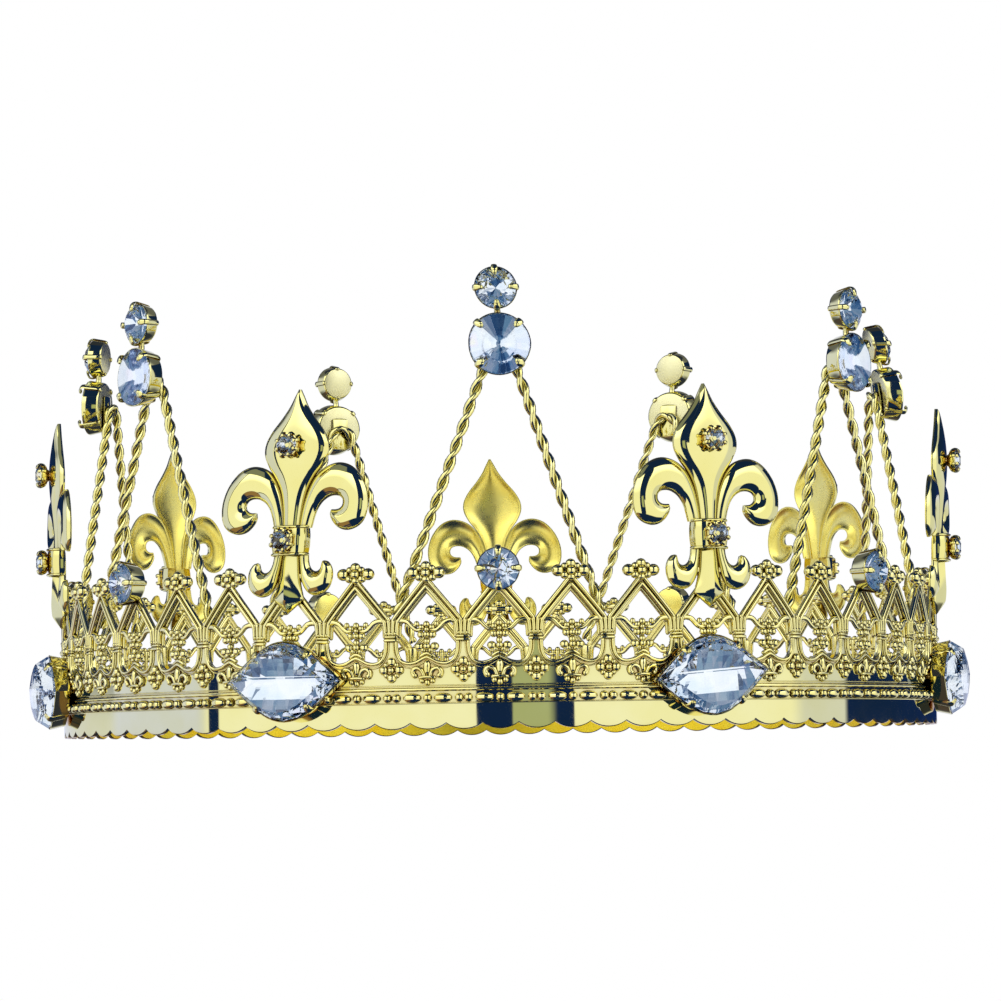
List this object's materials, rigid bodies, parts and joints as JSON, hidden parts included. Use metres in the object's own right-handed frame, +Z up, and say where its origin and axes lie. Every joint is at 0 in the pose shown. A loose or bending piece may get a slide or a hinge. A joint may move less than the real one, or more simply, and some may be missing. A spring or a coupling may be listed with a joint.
{
  "type": "crown",
  "caption": "Full-round costume crown: pierced gold gallery band carrying fleurs-de-lis and twisted-wire spires, all set with clear faceted stones in claw cups.",
  "frame": {"origin": "on the crown's vertical axis, in the plane of the lower rim's scallop tips, where the crown rests on a table", "axes": "+Z up along the ring's axis; -Y to the front, through a spire and the arch stone under it; +X to the right as seen from the front"},
  "size_m": [0.183, 0.1824, 0.0825],
  "materials": {
    "gold_plate": "highly polished pale-yellow gold plate on stamped brass",
    "gold_wire": "gold-plated wire, two strands twisted together, polished",
    "rivoli_crystal": "clear pointed-cut glass crystal with a silver foil back",
    "chaton_crystal": "clear brilliant-cut glass crystal with a silver foil back",
    "navette_crystal": "clear checkerboard-cut glass crystal with a silver foil back"
  },
  "bodies": {
    "root": {"gallery_band": "gold_plate", "spire_wire_1": "gold_wire", "spire_wire_2": "gold_wire", "spire_wire_3": "gold_wire", "spire_wire_4": "gold_wire", "spire_wire_5": "gold_wire", "spire_wire_6": "gold_wire", "spire_wire_7": "gold_wire", "spire_claw_cups_1": "gold_plate", "spire_claw_cups_2": "gold_plate", "spire_claw_cups_3": "gold_plate", "spire_claw_cups_4": "gold_plate", "spire_claw_cups_5": "gold_plate", "spire_claw_cups_6": "gold_plate", "spire_claw_cups_7": "gold_plate", "spire_rivoli_stone_1": "rivoli_crystal", "spire_rivoli_stone_2": "rivoli_crystal", "spire_rivoli_stone_3": "rivoli_crystal", "spire_rivoli_stone_4": "rivoli_crystal", "spire_rivoli_stone_5": "rivoli_crystal", "spire_rivoli_stone_6": "rivoli_crystal", "spire_rivoli_stone_7": "rivoli_crystal", "spire_top_stone_1": "chaton_crystal", "spire_top_stone_2": "chaton_crystal", "spire_top_stone_3": "chaton_crystal", "spire_top_stone_4": "chaton_crystal", "spire_top_stone_5": "chaton_crystal", "spire_top_stone_6": "chaton_crystal", "spire_top_stone_7": "chaton_crystal", "arch_stone_1": "chaton_crystal", "arch_stone_2": "chaton_crystal", "arch_stone_3": "chaton_crystal", "arch_stone_4": "chaton_crystal", "arch_stone_5": "chaton_crystal", "arch_stone_6": "chaton_crystal", "arch_stone_7": "chaton_crystal", "fleur_de_lis_1": "gold_plate", "fleur_de_lis_2": "gold_plate", "fleur_de_lis_3": "gold_plate", "fleur_de_lis_4": "gold_plate", "fleur_de_lis_5": "gold_plate", "fleur_de_lis_6": "gold_plate", "fleur_de_lis_7": "gold_plate", "navette_claw_cup_1": "gold_plate", "navette_claw_cup_2": "gold_plate", "navette_claw_cup_3": "gold_plate", "navette_claw_cup_4": "gold_plate", "navette_claw_cup_5": "gold_plate", "navette_claw_cup_6": "gold_plate", "navette_claw_cup_7": "gold_plate", "navette_stone_1": "navette_crystal", "navette_stone_2": "navette_crystal", "navette_stone_3": "navette_crystal", "navette_stone_4": "navette_crystal", "navette_stone_5": "navette_crystal", "navette_stone_6": "navette_crystal", "navette_stone_7": "navette_crystal"}
  },
  "joints": []
}
